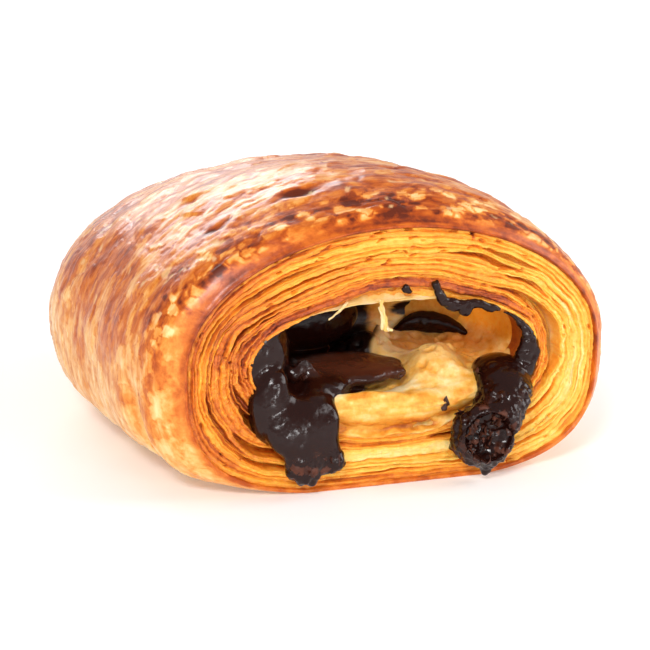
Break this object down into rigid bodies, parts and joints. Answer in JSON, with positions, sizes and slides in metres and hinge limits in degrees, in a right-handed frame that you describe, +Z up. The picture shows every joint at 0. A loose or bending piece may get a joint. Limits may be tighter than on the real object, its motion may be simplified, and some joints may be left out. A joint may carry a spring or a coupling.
{
  "type": "pain au chocolat",
  "caption": "Laminated dough roll with a glossy baked crust, gaping at one end, where melted chocolate batons ooze from a layered cavity.",
  "frame": {"origin": "centre of the flat base that the roll rests on, under the middle of its length", "axes": "+Z up from the base, +Y along the roll from its open end to its far end, +X to the right as seen from the open end"},
  "size_m": [0.0929, 0.1057, 0.0535],
  "materials": {
    "pastry": "egg-washed baked crust, satin to glossy, over pale matt crumb",
    "chocolate": "melted dark chocolate, glossy with a crumbly matt end"
  },
  "bodies": {
    "root": {"pastry": "pastry", "chocolate_left": "chocolate", "chocolate_right": "chocolate", "chocolate_smear": "chocolate", "chocolate_streak": "chocolate"}
  },
  "joints": []
}
